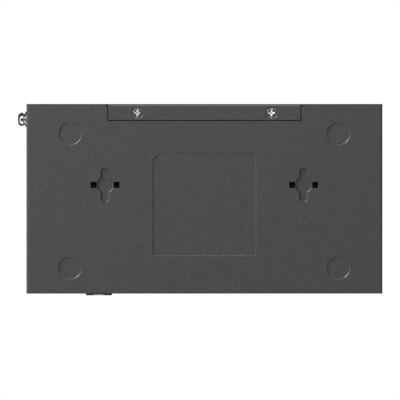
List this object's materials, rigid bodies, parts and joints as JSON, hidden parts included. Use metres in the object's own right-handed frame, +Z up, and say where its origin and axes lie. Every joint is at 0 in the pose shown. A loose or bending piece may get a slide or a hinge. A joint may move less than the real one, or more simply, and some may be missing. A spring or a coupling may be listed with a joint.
{
  "type": "ethernet router",
  "caption": "Small wired router in a folded steel case with wall keyholes, a screwed rear flap, network sockets, a module cage and a sprung reset plunger.",
  "frame": {"origin": "middle of the case's underside, on the plane it stands on", "axes": "+Z up, -Y out of the front wall with the ports, +X towards the ground screw"},
  "size_m": [0.2078, 0.1088, 0.028],
  "materials": {
    "black_powder_coat": "fine-grained powder coat, near black",
    "plated_screw": "dark zinc plate",
    "bright_plate": "bright zinc or nickel plate",
    "shield_metal": "nickel-plated sheet",
    "cage_metal": "nickel-plated copper alloy sheet",
    "black_moulding": "fine moulded texture",
    "gold_contact": "gold-plated sprung wire",
    "clear_plastic": "clear moulding",
    "board_laminate": "black solder mask",
    "chip_black": "moulded package",
    "heat_sink_metal": "extruded",
    "thermal_grey": "soft pad",
    "ferrite_grey": "pressed ferrite",
    "can_metal": "drawn can",
    "lamp_white": "clear package",
    "plunger_plastic": "moulded"
  },
  "bodies": {
    "case": {"bottom_tray": "black_powder_coat", "top_cover": "black_powder_coat", "cover_screws": "plated_screw", "board_screws": "plated_screw", "ground_screw": "bright_plate", "ground_washer": "bright_plate", "ground_lock_washer": "bright_plate", "ground_nut": "bright_plate", "board_standoffs": "bright_plate", "lan_jack_shield": "shield_metal", "wan_jack_shield": "shield_metal", "sfp_cage": "cage_metal", "lan_jack_insert": "black_moulding", "wan_jack_insert": "black_moulding", "sfp_connector": "black_moulding", "dc_jack": "black_moulding", "reset_switch": "black_moulding", "lan_jack_contacts": "gold_contact", "wan_jack_contacts": "gold_contact", "port_lights": "clear_plastic", "light_pipe_strip": "clear_plastic", "main_board": "board_laminate", "processor": "chip_black", "switch_chip": "chip_black", "memory_chips": "chip_black", "flash_chip": "chip_black", "magnetics_modules": "chip_black", "debug_header": "chip_black", "processor_heat_sink": "heat_sink_metal", "thermal_pad": "thermal_grey", "power_inductors": "ferrite_grey", "filter_capacitors": "can_metal", "crystal": "can_metal", "dc_jack_pin": "can_metal", "status_leds": "lamp_white"},
    "reset_plunger": {"reset_plunger": "plunger_plastic"}
  },
  "joints": [
    {"name": "reset_press", "type": "slide", "parent": "case", "child": "reset_plunger", "axis": [0, 1, 0], "range_m": [0, 0.0003], "stiffness_N_per_m": 2000, "springref_m": -0.0002}
  ]
}
